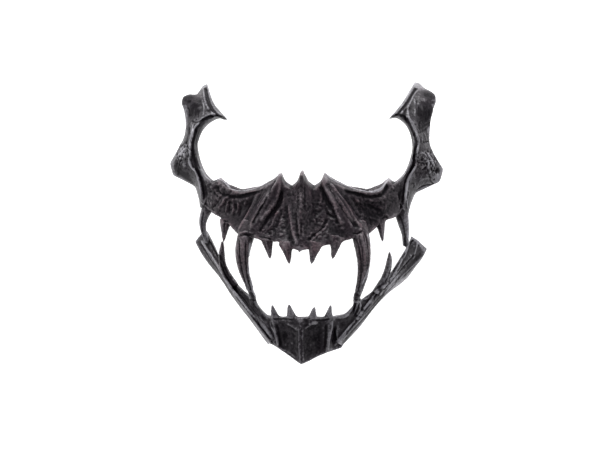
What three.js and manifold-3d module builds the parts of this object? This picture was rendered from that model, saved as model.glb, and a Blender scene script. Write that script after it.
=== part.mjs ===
// A skeletal half mask, cast in one piece: a ribbed muzzle with fangs, two cheekbones that sweep up
// round the eyes into horned temples, and a narrow lower jaw that hangs from the tips of the fangs.
// Millimetres. The mask lies on its back: +X is the viewer's right, +Y is up the face and +Z is forward.
import * as THREE from "three";
import { mergeVertices } from "three/addons/utils/BufferGeometryUtils.js";
import Module from "manifold-3d";

const wasm = await Module();
wasm.setup();

// Driving dimensions
const SHELL = 5.0; // wall of the muzzle and the chin
const RIM_RISE = 3.2; // the upper rim is bevelled: its rear edge stands this much above its front edge
const RIM_DEPTH = 8.5; // and so far behind it
const CHIN_RISE = 0.8;
const CHIN_RIM_DEPTH = 5.0;
const EYE_BEVEL = 1.7; // how wide the bevel round the eye looks from the front
const CHANNEL_SHARE = 0.6; // the deepest line of the channel beside it, as a share of the way to the crest
const CHANNEL_DEPTH = 1.5;
const STRAIGHTENED = 0.85; // how straight a cheekbone's outer edge runs from corner to corner
const CHEEK_THICK = 9.0;
const TEMPLE_THICK = 7.5;
const OUTER_SHARE = 0.55; // the outer edge of a cheekbone is thinner than its middle by this
const TIP_TURN = [0.8, 0.95]; // over this stretch of a temple its face turns up, as the bone dives to its tip,
const TIP_FACING = [0, 0.8, 0.6]; // until it looks this way
const JAW_PLATE = 4.4;
const LIP_DEPTH = 7.0; // the toothed lip of the lower jaw, front to back
const RIDGE_FLANK = 2.0; // the ridge along the jaw falls to its groove over this much
const TRIM_WIDTH = 400; // the block that trims the back flat, wider than the mask
const TRIM_DEPTH = 20; // and deeper than what it takes off
const CENTRE_SHIFT = [1.7, -5.9, 0]; // from the drawing's origin, level with the gums, to the box's middle

// The casting isn't quite even
const JAW_DROP = 2.0; // the lower jaw hangs this much lower on the viewer's right and higher on the left
const FACE_DROP = 2.4; // so do both cheekbones
const CHEEK_LEAN = 1.7; // both cheekbones stand this much nearer the viewer's left
const TEMPLE_LEAN = 0.8; // and both temples this much
const JAW_SIDE = [22, 38]; // how far out the jaw's drop sets in, and where it is whole
const FACE_SIDE = [50, 80]; // the same for the cheekbones' drop,
const FACE_TOP = [50, 90]; // which ends between these heights
const MOUTH = [-35, -8]; // heights between which the jaw's drop gives way to the cheekbones'
const CHEEK_SIDE = [45, 65]; // how far out the lean sets in, and where it is whole
const CHEEK_FOOT = [-15, 8]; // the same upwards
const TEMPLE_FOOT = [48, 72]; // heights between which the cheekbones' lean gives way to the temples'

// How finely each sort of surface is drawn
const CHEEK_STEPS = 45;
const JAW_STEPS = 24;
const FANG_STEPS = 9;
const FANG_SIDES = 10;
const TOOTH_SIDES = 8;
const MUZZLE_GRID = {
  steps: 60,
  rows: 8,
  rimRise: RIM_RISE,
  rimDepth: RIM_DEPTH,
  halfWidth: 60,
  turn: 0.75,
};
const CHIN_GRID = {
  steps: 30,
  rows: 5,
  rimRise: CHIN_RISE,
  rimDepth: CHIN_RIM_DEPTH,
  halfWidth: 30,
  turn: 0.6,
};

// Cheekbone and temple, as rails from the cheek to the tip: rim of the eye, crest and outer edge. fill is
// how far the outer face swells between the last two, and flare how much higher than drawn the outer edge
// stands on the viewer's right, and lower on the left.
const CHEEKBONE = [
  { rim: [57.5, 28.2, 57.5], crest: [65.6, 13.4, 49.5], outer: [69.4, 10.2, 43], fill: 0 },
  { rim: [62.3, 32.0, 55.5], crest: [67.6, 21.0, 50.2], outer: [70.8, 16.6, 40.5], fill: 0 },
  { rim: [66.0, 36.3, 53], crest: [69.6, 29.6, 50], outer: [74.0, 24.4, 36], fill: 0.4 },
  { rim: [68.6, 42.0, 51], crest: [72.1, 37.0, 50], outer: [81.2, 28.0, 33], fill: 1.2 },
  { rim: [70.4, 48.0, 49], crest: [74.1, 43.7, 50], outer: [89.9, 32.3, 31], fill: 1.8 },
  { rim: [71.2, 52.0, 48], crest: [74.4, 49.3, 50], outer: [92.2, 40.6, 30], fill: 1.6 },
  { rim: [71.2, 55.7, 46], crest: [74.7, 54.6, 48], outer: [86.2, 50.2, 33], fill: 0.4 },
  { rim: [70.2, 60.6, 44], crest: [74.4, 61.0, 46], outer: [82.8, 57.3, 32], fill: 0.2 },
  { rim: [68.0, 65.6, 41], crest: [72.6, 66.2, 43], outer: [82.4, 64.5, 29], fill: 0 },
  { rim: [64.4, 69.9, 38], crest: [69.0, 71.8, 40], outer: [83.0, 71.9, 27], fill: 0.4 },
  { rim: [58.8, 72.8, 35.5], crest: [62.4, 75.2, 38], outer: [84.6, 79.0, 24], fill: 1.4 },
  { rim: [54.2, 71.7, 34], crest: [58.6, 74.8, 36.5], outer: [86.6, 84.1, 22], fill: 1.8 },
  { rim: [58.4, 76.8, 30], crest: [62.0, 78.2, 33.5], outer: [85.9, 88.8, 20], fill: 1.6 },
  { rim: [63.3, 84.0, 23.5], crest: [66.5, 84.8, 28], outer: [82.0, 91.5, 17], flare: 0.5, fill: 1.0 },
  { rim: [67.9, 93.0, 12], crest: [70.2, 93.4, 17], outer: [78.2, 92.7, 12], flare: 1.9, fill: 0.4 },
  { rim: [70.9, 98.8, 1], crest: [72.3, 99.3, 4.2], outer: [75.4, 98.2, 2.4], flare: 0.3, fill: 0 },
];

// Lower jaw, as rails from its back corner to the chin: toothed lip, ridge and outer edge. groove is how deep
// the face between the first two is hollowed beside the ridge, and plate how far the bone runs back from its
// outer edge and how far it splays outwards on the way. Here and below, sway is how far both sides' ones
// stand to the viewer's right, and uneven how much lower the right one hangs.
const JAW_BONE = [
  { lip: [69.0, -4.6, 33], ridge: [72.8, -6.8, 31], edge: [78.6, -12.8, 25],
    groove: 0, plate: [26, 0], sway: 1.0 },
  { lip: [66.2, -10.2, 36], ridge: [69.2, -13.6, 34], edge: [74.7, -19.8, 26.5],
    groove: 0, plate: [24.5, -0.6], sway: 1.2 },
  { lip: [62.2, -17.2, 41], ridge: [65.4, -20.2, 38], edge: [70.0, -25.6, 29],
    groove: 0.6, plate: [23, 0.6], sway: 1.1 },
  { lip: [57.4, -25.0, 46], ridge: [60.4, -26.8, 43], edge: [64.6, -31.2, 32],
    groove: 1.6, plate: [22, 2.0], sway: 0.9 },
  { lip: [50.5, -34.7, 51], ridge: [54.6, -34.8, 49], edge: [58.8, -37.4, 36.5],
    groove: 2.4, plate: [21.5, 1.2], sway: 0.8 },
  { lip: [42.5, -41.9, 57], ridge: [48.0, -43.0, 54], edge: [52.6, -43.8, 41.5],
    groove: 2.8, plate: [20.5, -0.4], sway: -0.5 },
  { lip: [37.3, -45.6, 62], ridge: [42.0, -50.6, 60], edge: [44.9, -52.7, 49],
    groove: 3.0, plate: [19, -1.2], sway: -0.7 },
  { lip: [32.6, -48.6, 67], ridge: [34.6, -59.0, 66], edge: [37.2, -61.8, 56.5],
    groove: 3.2, plate: [17.5, -1.2], sway: 0.2 },
  { lip: [26.8, -55.0, 71], ridge: [27.8, -67.0, 71], edge: [30.2, -69.6, 62],
    groove: 3.2, plate: [15, -1.0], sway: 0.8 },
  { lip: [19.0, -60.4, 74], ridge: [21.2, -74.6, 74], edge: [24.0, -76.6, 66],
    groove: 3.2, plate: [14, -0.6], sway: 1.3 },
];

// Muzzle, as columns from the upper rim to the gums. swell lifts or sinks the middle of a column.
const MUZZLE = [
  { rim: [0, 36.8, 78], foot: [0, -15.2, 90], swell: 2.0, uneven: 0 },
  { rim: [4.0, 29.3, 76], foot: [5.2, -14.1, 89.5], swell: 0.4, uneven: 0.2 },
  { rim: [7.2, 26.7, 74.5], foot: [12.0, -11.3, 88], swell: -1.6, uneven: 1.5 },
  { rim: [11.4, 29.6, 74], foot: [23.0, -9.7, 84.5], swell: -2.2, uneven: 0.7 },
  { rim: [13.8, 35.2, 74.5], foot: [36.5, -6.2, 78.5], swell: 3.4, uneven: 0.2 },
  { rim: [19.8, 31.0, 72], foot: [41.8, -5.0, 72], swell: -0.8, uneven: 0.3 },
  { rim: [28.5, 26.6, 69], foot: [45.8, -1.7, 67], swell: -3.0, uneven: 0.2 },
  { rim: [41.1, 24.6, 65], foot: [48.8, 1.6, 63.5], swell: -1.6, uneven: 0.2 },
  { rim: [50.3, 28.2, 60.5], foot: [53.8, 4.9, 59], swell: 0.6, uneven: 0.7 },
  { rim: [55.3, 32.4, 57.5], foot: [59.3, 7.1, 54], swell: 1.0, uneven: 1.0 },
  { rim: [61.0, 29.4, 54.5], foot: [64.0, 10.0, 48], swell: 1.0, uneven: 0.6 },
];

// Chin, as columns from the gums to the lower edge
const CHIN = [
  { rim: [0, -57.2, 85], foot: [0, -87.5, 81], swell: 1.0, uneven: 0 },
  { rim: [5.5, -56.7, 83.5], foot: [4.4, -85.4, 77.6], swell: -1.2, uneven: 0.4 },
  { rim: [12.4, -57.2, 80.5], foot: [10.4, -82.0, 74.8], swell: -1.8, uneven: 0.8 },
  { rim: [18.5, -57.0, 78], foot: [15.6, -79.4, 73.6], swell: 0.8, uneven: 1.2, sway: 0.3 },
  { rim: [21.4, -56.8, 74.5], foot: [19.4, -78.0, 69.6], swell: -1.4, uneven: 1.5, sway: 0.6 },
  { rim: [26.5, -55.6, 70.5], foot: [24.2, -76.4, 66], swell: -0.6, uneven: 1.5, sway: 0.8 },
];

// Curved fangs: points of the middle line, the width across at each, and how much deeper than wide they are
const GREAT_FANG = {
  line: [[35.4, 1.5, 70], [36.8, -6.0, 74], [38.4, -14.6, 76.5], [38.9, -22.6, 76.5],
    [37.9, -30.3, 75], [35.9, -37.6, 72.5], [33.2, -46.5, 68]],
  wide: [10.4, 11.4, 10.0, 8.2, 6.7, 5.1, 3.9],
  depth: 1.15,
  sway: 0.7,
};
const LEFT_REAR_FANG = {
  line: [[61.4, 14.5, 44], [64.9, 7.2, 43], [67.2, 1.0, 41], [67.6, -5.2, 38], [66.4, -12.0, 34.5]],
  wide: [8.0, 6.3, 4.9, 4.0, 3.3],
  depth: 1.3,
  sway: -1.1,
};
const RIGHT_REAR_FANG = { // its root is broader
  line: [[63.6, 16.0, 44], [65.4, 10.0, 43.3], [66.7, 2.6, 41.5], [67.2, -3.9, 38.5], [66.2, -11.5, 34.5]],
  wide: [10.2, 9.7, 7.8, 5.2, 3.2],
  depth: 1.0,
  sway: -1.1,
};
const LOWER_CANINE = {
  line: [[46.9, -41.5, 52], [50.9, -34.6, 52], [54.0, -27.6, 53]],
  wide: [6.8, 5.4, 4.7],
  depth: 1.3,
  sway: -0.1,
  leftTip: { line: [[54.4, -19.4, 56], [53.3, -10.0, 59.5]], wide: [4.2, 1.8] }, // meets the tooth above it
  rightTip: { line: [[55.4, -20.0, 55], [55.5, -15.8, 57]], wide: [3.5, 0.9] },
};

// Short teeth and the two bosses that are made like them: middle of the base, tip, and width at each. turn is
// how far the front of one faces away from the middle of the mask, in radians.
const SHORT_TEETH = {
  outerIncisor: {
    base: [22.3, -6.4, 82.2],
    tip: [19.7, -20.3, 85.6],
    wide: 10.6,
    tipWide: 1.4,
    turn: 0.35,
    sway: 0.6,
  },
  innerIncisor: {
    base: [9.4, -9.8, 86.4],
    tip: [6.9, -23.4, 89.7],
    wide: 10.8,
    tipWide: 1.4,
    turn: 0.2,
    sway: 0.4,
  },
  cheekTooth: {
    base: [50.4, 4.6, 59.4],
    tip: [51.8, -9.8, 60.2],
    wide: 9.4,
    tipWide: 1.2,
    turn: 0.75,
    sway: -0.7,
  },
  outerLowerTooth: { base: [16.6, -60, 75.5], tip: [18.7, -49.8, 79.5], wide: 7.8, tipWide: 1.2, turn: 0.4 },
  innerLowerTooth: {
    base: [6.2, -60.5, 80.5],
    tip: [8.1, -49.9, 84.5],
    wide: 9.4,
    tipWide: 1.2,
    turn: 0.35,
    sway: 0.6,
    uneven: 0.8,
  },
  fangSeat: {
    base: [33.3, -54.0, 62],
    tip: [34.2, -43.8, 67.5],
    wide: 6.2,
    tipWide: 5.2,
    turn: 0.7,
    sway: 0.9,
  },
};
const GUM_NUB = { base: [0, -11.5, 86], tip: [0, -16.4, 90], wide: 3.4, tipWide: 1.2, turn: 0, sway: -0.3 };
const TOOTH_FLATNESS = 0.9; // how deep one is front to back, as a share of its width,
const TOOTH_DEPTH = 5.5; // and the deepest that one gets
const TOOTH_RINGS = [0, 0.3, 0.65, 0.94]; // where its rings are, as shares of the way to the tip
const TOOTH_HOLLOW = 0.85; // below 1 its sides are a little hollow
const TOOTH_TIP = 0.4; // how much of the tip's width is left at its very end

const { lerp, smoothstep, clamp } = THREE.MathUtils;
const vector = (p) => new THREE.Vector3(...p);

// A drawn point on the side asked for: -1 is the viewer's left and 1 is the right
function placed(p, side, { sway = 0, uneven = 0 } = {}) {
  return vector([side * p[0] + sway, p[1] - side * uneven, p[2]]);
}

// Moves a point of the even drawing to where the uneven casting has it
function lean(p) {
  const across = Math.abs(p.x);
  const jawDrop = JAW_DROP * smoothstep(across, ...JAW_SIDE);
  const faceDrop = FACE_DROP * smoothstep(across, ...FACE_SIDE) * (1 - smoothstep(p.y, ...FACE_TOP));
  const drop = Math.sign(p.x) * lerp(jawDrop, faceDrop, smoothstep(p.y, ...MOUTH));
  const cheekbone = smoothstep(across, ...CHEEK_SIDE) * smoothstep(p.y, ...CHEEK_FOOT);
  const side = cheekbone * lerp(CHEEK_LEAN, TEMPLE_LEAN, smoothstep(p.y, ...TEMPLE_FOOT));
  return new THREE.Vector3(p.x - side, p.y - drop, p.z);
}

// A closed solid through rings of points. Each ring has the same count, and each end is capped.
function loft(rings) {
  const count = rings[0].length;
  const points = rings.flat().map(lean);
  const faces = [];
  for (let r = 0; r + 1 < rings.length; r += 1) {
    for (let i = 0; i < count; i += 1) {
      const a = r * count + i;
      const b = r * count + ((i + 1) % count);
      faces.push([a, b, b + count], [a, b + count, a + count]);
    }
  }
  const last = (rings.length - 1) * count;
  const ends = [rings[0], rings[rings.length - 1]];
  ends.forEach((ring, end) => {
    const middle = ring.reduce((sum, p) => sum.add(p), new THREE.Vector3()).divideScalar(count);
    points.push(lean(middle));
    for (let i = 0; i < count; i += 1) {
      const j = (i + 1) % count;
      if (end === 0) faces.push([points.length - 1, j, i]);
      else faces.push([points.length - 1, last + i, last + j]);
    }
  });
  return solidOf(points, faces);
}

function solidOf(points, faces) {
  let volume = 0;
  for (const [a, b, c] of faces) volume += points[a].dot(points[b].clone().cross(points[c]));
  const outward = volume > 0 ? faces : faces.map(([a, b, c]) => [a, c, b]);
  return new wasm.Manifold(
    new wasm.Mesh({
      numProp: 3,
      vertProperties: new Float32Array(points.flatMap((p) => [p.x, p.y, p.z])),
      triVerts: new Uint32Array(outward.flat()),
    }),
  );
}

// A smooth line through the given points
function rail(points) {
  const line = new THREE.CatmullRomCurve3(points, false, "centripetal");
  return (t) => line.getPoint(t);
}

// The way a line runs at t
const heading = (line, t) => line(Math.min(t + 0.01, 1)).sub(line(Math.max(t - 0.01, 0))).normalize();

// A value that runs evenly from one station to the next
function blended(values) {
  return (t) => {
    const at = t * (values.length - 1);
    const low = Math.min(Math.floor(at), values.length - 2);
    return lerp(values[low], values[low + 1], at - low);
  };
}

// A line with a corner at each point, evenly spaced between them
function ridged(points) {
  const axes = [0, 1, 2].map((axis) => blended(points.map((p) => p.getComponent(axis))));
  return (t) => vector(axes.map((value) => value(t)));
}

// A bone strap: one ring at each step along three rails, from the section that is given. The last rail, its
// outer edge, runs straighter than the others.
function strap(stations, names, side, steps, straightened, section) {
  const askew = (name, s) => (name === "outer" ? { uneven: -(s.flare ?? 0) } : s);
  const drawn = names.map((name) => stations.map((s) => placed(s[name], side, askew(name, s))));
  const rails = drawn.map(rail);
  const corners = ridged(drawn[names.length - 1]);
  const rings = [];
  for (let i = 0; i <= steps; i += 1) {
    const t = i / steps;
    const places = rails.map((line) => line(t));
    places[names.length - 1].lerp(corners(t), straightened);
    rings.push(section(places, t));
  }
  return loft(rings);
}

// Cheekbone: a bevelled rim round the eye, a channel, a crest, a swelling outer face and a plain back
const cheekFill = blended(CHEEKBONE.map((s) => s.fill));
function cheekRing([rim, crest, outer], t) {
  const slope = outer.clone().sub(crest).normalize();
  const tip = smoothstep(t, ...TIP_TURN);
  const straight = new THREE.Vector3(0, 0, 1).lerp(vector(TIP_FACING), tip).normalize();
  const facing = straight.clone().addScaledVector(slope, -slope.dot(straight)).lerp(straight, tip).normalize();
  const thick = lerp(CHEEK_THICK, TEMPLE_THICK, t);
  const middle = crest.clone().lerp(outer, 0.5);
  const channel = rim.clone().lerp(crest, CHANNEL_SHARE);
  channel.z -= CHANNEL_DEPTH;
  return [
    rim.clone().lerp(crest, EYE_BEVEL / rim.distanceTo(crest)),
    channel,
    crest,
    middle.clone().addScaledVector(facing, cheekFill(t)),
    outer,
    outer.clone().addScaledVector(facing, -thick * OUTER_SHARE),
    middle.clone().addScaledVector(facing, -thick),
    rim.clone().addScaledVector(straight, -thick),
  ];
}

// Lower jaw: a lip, a groove, a ridge, an outer face, and a plate that runs back and splays a little
const grooveDepth = blended(JAW_BONE.map((s) => s.groove));
const [plateDepth, plateSplay] = [0, 1].map((i) => blended(JAW_BONE.map((s) => s.plate[i])));
function jawRing([lip, ridge, edge], t) {
  const groove = ridge.clone().lerp(lip, RIDGE_FLANK / ridge.distanceTo(lip));
  groove.z -= grooveDepth(t);
  const inward = new THREE.Vector3(lip.x - edge.x, lip.y - edge.y, 0).normalize();
  const heel = edge.clone().addScaledVector(inward, -plateSplay(t));
  heel.z -= plateDepth(t);
  return [
    lip,
    groove,
    ridge,
    edge,
    heel,
    heel.clone().addScaledVector(inward, JAW_PLATE),
    lip.clone().add(new THREE.Vector3(0, 0, -LIP_DEPTH)),
  ];
}

// A fang: rings along a curved line, wider front to back than across
function horn(shape, side, tip = { line: [], wide: [] }) {
  const middle = rail([...shape.line, ...tip.line].map((p) => placed(p, side, shape)));
  const width = blended([...shape.wide, ...tip.wide]);
  const rings = [];
  for (let i = 0; i <= FANG_STEPS; i += 1) {
    const t = i / FANG_STEPS;
    rings.push(ring(middle(t), heading(middle, t), width(t), width(t) * shape.depth, FANG_SIDES));
  }
  return loft(rings);
}

// An oval square to a line, so wide across and so deep front to back. turn swings its front sideways.
function ring(middle, along, wide, deep, sides, turn = 0) {
  const ahead = new THREE.Vector3(Math.sin(turn), 0, Math.cos(turn));
  const across = ahead.cross(along).normalize();
  const front = along.clone().cross(across);
  return Array.from({ length: sides }, (_, i) => {
    const angle = (2 * Math.PI * i) / sides;
    const point = middle.clone().addScaledVector(across, (wide / 2) * Math.cos(angle));
    return point.addScaledVector(front, (deep / 2) * Math.sin(angle));
  });
}

// A short tooth: a cone with a rounded tip, a little hollow towards the base
function tooth(shape, side) {
  const [low, high] = [shape.base, shape.tip].map((p) => placed(p, side, shape));
  const along = high.clone().sub(low).normalize();
  const section = (t, wide) => {
    const deep = Math.min(wide * TOOTH_FLATNESS, TOOTH_DEPTH);
    return ring(low.clone().lerp(high, t), along, wide, deep, TOOTH_SIDES, side * shape.turn);
  };
  const width = (t) => lerp(shape.wide, shape.tipWide, Math.pow(t, TOOTH_HOLLOW));
  const rings = TOOTH_RINGS.map((t) => section(t, width(t)));
  rings.push(section(1, shape.tipWide * TOOTH_TIP));
  return loft(rings);
}

// A ribbed wall from an upper rim to a lower edge, both ways from the middle column
function wall(columns, { steps, rows, rimRise, rimDepth, halfWidth, turn }) {
  const left = columns.slice(1).reverse().map((column) => ({ column, side: -1 }));
  const whole = [...left, ...columns.map((column) => ({ column, side: 1 }))];
  const rim = ridged(whole.map(({ column, side }) => placed(column.rim, side)));
  const foot = ridged(whole.map(({ column, side }) => placed(column.foot, side, column)));
  const swell = blended(whole.map(({ column }) => column.swell));
  const rings = [];
  for (let i = 0; i <= steps; i += 1) {
    const t = i / steps;
    const [top, low] = [rim(t), foot(t)];
    const front = [];
    const back = [];
    for (let j = 0; j <= rows; j += 1) {
      const v = j / rows;
      const p = top.clone().sub(new THREE.Vector3(0, rimRise, 0)).lerp(low, v);
      const angle = turn * clamp(p.x / halfWidth, -1, 1);
      const ahead = new THREE.Vector3(Math.sin(angle), 0, Math.cos(angle));
      p.addScaledVector(ahead, swell(t) * Math.sin(Math.PI * v));
      front.push(p);
      back.push(p.clone().addScaledVector(ahead, -SHELL));
    }
    back[0] = top.clone().add(new THREE.Vector3(0, 0, -rimDepth));
    back[rows] = low.clone().add(new THREE.Vector3(0, 0, -SHELL));
    rings.push([...front, ...back.reverse()]);
  }
  return loft(rings);
}

// A closed solid from one of the plain box geometries
function block(geometry) {
  geometry.deleteAttribute("normal");
  geometry.deleteAttribute("uv");
  const merged = mergeVertices(geometry);
  return new wasm.Manifold(
    new wasm.Mesh({
      numProp: 3,
      vertProperties: merged.attributes.position.array,
      triVerts: new Uint32Array(merged.index.array),
    }),
  );
}

// All of it as one solid, trimmed flat where it lies on its back
function makeMask() {
  const pieces = [wall(MUZZLE, MUZZLE_GRID), wall(CHIN, CHIN_GRID), tooth(GUM_NUB, 1)];
  for (const side of [-1, 1]) {
    pieces.push(
      strap(CHEEKBONE, ["rim", "crest", "outer"], side, CHEEK_STEPS, STRAIGHTENED, cheekRing),
      strap(JAW_BONE, ["lip", "ridge", "edge"], side, JAW_STEPS, 0, jawRing),
      horn(GREAT_FANG, side),
      horn(side < 0 ? LEFT_REAR_FANG : RIGHT_REAR_FANG, side),
      horn(LOWER_CANINE, side, side < 0 ? LOWER_CANINE.leftTip : LOWER_CANINE.rightTip),
      ...Object.values(SHORT_TEETH).map((shape) => tooth(shape, side)),
    );
  }
  const joined = pieces.reduce((sum, piece) => sum.add(piece));
  const below = new THREE.BoxGeometry(TRIM_WIDTH, TRIM_WIDTH, TRIM_DEPTH);
  below.translate(0, 0, -TRIM_DEPTH / 2);
  return joined.subtract(block(below));
}

function geometryOf(solid) {
  const mesh = solid.getMesh();
  const geometry = new THREE.BufferGeometry();
  geometry.setAttribute("position", new THREE.BufferAttribute(new Float32Array(mesh.vertProperties), 3));
  geometry.setIndex(new THREE.BufferAttribute(new Uint32Array(mesh.triVerts), 1));
  geometry.computeVertexNormals();
  return geometry;
}

const resin = new THREE.MeshStandardMaterial({ color: 0x1b181b, roughness: 0.42, metalness: 0 });
const mask = new THREE.Mesh(geometryOf(makeMask()), resin);
mask.name = "mask";
mask.position.set(...CENTRE_SHIFT);

const group = new THREE.Group();
group.add(mask);
export default group;
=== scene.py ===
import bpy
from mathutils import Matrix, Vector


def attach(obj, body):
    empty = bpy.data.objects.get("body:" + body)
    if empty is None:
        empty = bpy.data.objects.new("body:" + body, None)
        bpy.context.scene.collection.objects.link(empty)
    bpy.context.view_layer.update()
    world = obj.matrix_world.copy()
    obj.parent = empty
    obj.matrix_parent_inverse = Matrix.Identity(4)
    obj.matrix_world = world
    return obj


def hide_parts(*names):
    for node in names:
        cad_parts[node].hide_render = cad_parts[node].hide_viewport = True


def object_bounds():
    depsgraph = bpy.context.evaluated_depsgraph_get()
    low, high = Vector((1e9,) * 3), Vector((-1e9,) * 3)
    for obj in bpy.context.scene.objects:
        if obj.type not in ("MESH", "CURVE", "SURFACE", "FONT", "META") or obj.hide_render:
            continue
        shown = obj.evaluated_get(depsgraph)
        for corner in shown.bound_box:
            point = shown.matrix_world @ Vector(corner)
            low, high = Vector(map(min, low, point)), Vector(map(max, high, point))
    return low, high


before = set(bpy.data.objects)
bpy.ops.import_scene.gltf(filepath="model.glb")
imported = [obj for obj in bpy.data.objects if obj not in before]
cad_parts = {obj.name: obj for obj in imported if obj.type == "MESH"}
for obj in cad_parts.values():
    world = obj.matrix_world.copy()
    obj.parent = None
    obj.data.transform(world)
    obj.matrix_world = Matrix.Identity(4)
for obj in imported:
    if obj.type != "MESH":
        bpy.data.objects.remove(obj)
cad_box = [list(corner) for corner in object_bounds()]

import math

import bmesh
import bpy
import numpy as np
from mathutils import Vector
from mathutils.bvhtree import BVHTree

# The view: the mask lies on its back and the camera looks down on it, a few degrees from the mask's own
# left. The long lens keeps the near teeth and the far temples at nearly one scale.
MM = 0.001
VIEW_CENTRE = Vector((1.7, -5.9, 45.0)) * MM
VIEW_TURN = math.radians(5.0)
VIEW_DISTANCE = 900 * MM
LENS = 80.2
SENSOR_WIDTH = 36.0

to_camera = Vector((math.sin(VIEW_TURN), 0.0, math.cos(VIEW_TURN)))
view_right = Vector((math.cos(VIEW_TURN), 0.0, -math.sin(VIEW_TURN)))
view_up = Vector((0.0, 1.0, 0.0))
camera_data = bpy.data.cameras.new("camera")
camera_data.lens = LENS
camera_data.sensor_width = SENSOR_WIDTH
camera = bpy.data.objects.new("camera", camera_data)
camera.location = VIEW_CENTRE + to_camera * VIEW_DISTANCE
camera.rotation_euler = (0.0, VIEW_TURN, 0.0)
bpy.context.scene.collection.objects.link(camera)
bpy.context.scene.camera = camera
bpy.context.scene.view_settings.view_transform = "Standard"

# The tent: a ring of white cloth half way up, dark overhead and dimmer at the horizon, with a soft box low
# down beyond the top of the mask and one on either side. A face that looks straight up mirrors the dark.
# Each stop is a height, from the horizon to overhead, and how bright the cloth is there.
TENT = [(0.0, 0.3), (0.2, 0.3), (0.42, 0.85), (0.7, 0.85), (0.88, 0.05)]
CLOTH_BLUE = 1.02

world = bpy.data.worlds.new("tent")
world.use_nodes = True
bpy.context.scene.world = world
cloth = world.node_tree.nodes
ways = world.node_tree.links
cloth.clear()
look = cloth.new("ShaderNodeTexCoord")
height = cloth.new("ShaderNodeSeparateXYZ")
fall = cloth.new("ShaderNodeValToRGB")
glow = cloth.new("ShaderNodeBackground")
sky = cloth.new("ShaderNodeOutputWorld")
for place, white in TENT:
    stop = fall.color_ramp.elements[0] if place == 0.0 else fall.color_ramp.elements.new(place)
    stop.position = place
    stop.color = (white, white, white * CLOTH_BLUE, 1)
fall.color_ramp.elements.remove(fall.color_ramp.elements[-1])
ways.new(look.outputs["Generated"], height.inputs[0])
ways.new(height.outputs["Z"], fall.inputs["Fac"])
ways.new(fall.outputs["Color"], glow.inputs["Color"])
ways.new(glow.outputs[0], sky.inputs[0])


def soft_box(name, place, width, length, power):
    lamp = bpy.data.lights.new(name, "AREA")
    lamp.shape = "RECTANGLE"
    lamp.size = width
    lamp.size_y = length
    lamp.energy = power
    box = bpy.data.objects.new(name, lamp)
    box.location = place
    box.rotation_euler = (VIEW_CENTRE - Vector(place)).to_track_quat("-Z", "Y").to_euler()
    bpy.context.scene.collection.objects.link(box)


soft_box("top_box", place=(0.0, 1.2, 0.3), width=1.3, length=0.4, power=16.0)
soft_box("left_box", place=(-1.1, 0.3, 0.6), width=0.5, length=0.9, power=5.0)
soft_box("right_box", place=(1.2, 0.1, 0.4), width=0.4, length=1.0, power=3.0)

# The table: a pale sheet that glows a little from below, so that the mask throws hardly any shadow. It lies
# a hair under the mask's four resting points.
SHEET_HALF = 3.0
SHEET_DROP = -0.3 * MM
SHEET_GREY = (0.84, 0.84, 0.84, 1)
SHEET_ROUGHNESS = 0.9
SHEET_GLOW_COLOUR = (1, 1, 1, 1)
SHEET_GLOW = 0.85

corners = ((-1, -1), (1, -1), (1, 1), (-1, 1))
sheet_points = [(x * SHEET_HALF, y * SHEET_HALF, SHEET_DROP) for x, y in corners]
sheet_mesh = bpy.data.meshes.new("table_sheet")
sheet_mesh.from_pydata(sheet_points, [], [(0, 1, 2, 3)])
sheet = bpy.data.objects.new("table_sheet", sheet_mesh)
bpy.context.scene.collection.objects.link(sheet)
paper = bpy.data.materials.new("pale_sheet")
paper.use_nodes = True
paper_face = paper.node_tree.nodes["Principled BSDF"]
paper_face.inputs["Base Color"].default_value = SHEET_GREY
paper_face.inputs["Roughness"].default_value = SHEET_ROUGHNESS
paper_face.inputs["Emission Color"].default_value = SHEET_GLOW_COLOUR
paper_face.inputs["Emission Strength"].default_value = SHEET_GLOW
sheet_mesh.materials.append(paper)

# The mask's body. The real one is a single casting in black resin, poured in a soft mould from a carved
# original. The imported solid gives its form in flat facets; here they are made even and rounded off, while
# the edges that the carver left stay crisp.
VOXEL = 0.45 * MM
EDGE_KEPT = 0.35
FAIRING_ROUNDS = 34
ROUNDED_OFF = 0.3 * MM
SAME_POINT = 1e-6
NEXT_TO_NOTHING = 1e-20


def merged_copy(node, name):
    piece = bpy.data.objects.new(name, node.data.copy())
    bpy.context.scene.collection.objects.link(piece)
    form = bmesh.new()
    form.from_mesh(piece.data)
    bmesh.ops.remove_doubles(form, verts=form.verts, dist=SAME_POINT)
    form.to_mesh(piece.data)
    form.free()
    return piece


def settle(piece):
    graph = bpy.context.evaluated_depsgraph_get()
    finished = bpy.data.meshes.new_from_object(piece.evaluated_get(graph))
    piece.modifiers.clear()
    piece.data = finished


def points_of(mesh):
    points = np.zeros(len(mesh.vertices) * 3)
    mesh.vertices.foreach_get("co", points)
    return points.reshape(-1, 3)


def normals_of(mesh):
    normals = np.zeros(len(mesh.vertices) * 3)
    mesh.vertices.foreach_get("normal", normals)
    return normals.reshape(-1, 3)


def move_to(mesh, points):
    mesh.vertices.foreach_set("co", points.ravel())
    mesh.update()


def unit(rows):
    return rows / np.maximum(np.linalg.norm(rows, axis=1, keepdims=True), NEXT_TO_NOTHING)


def summed(index, rows, count):
    return np.stack([np.bincount(index, rows[:, k], count) for k in range(3)], 1)


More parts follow.
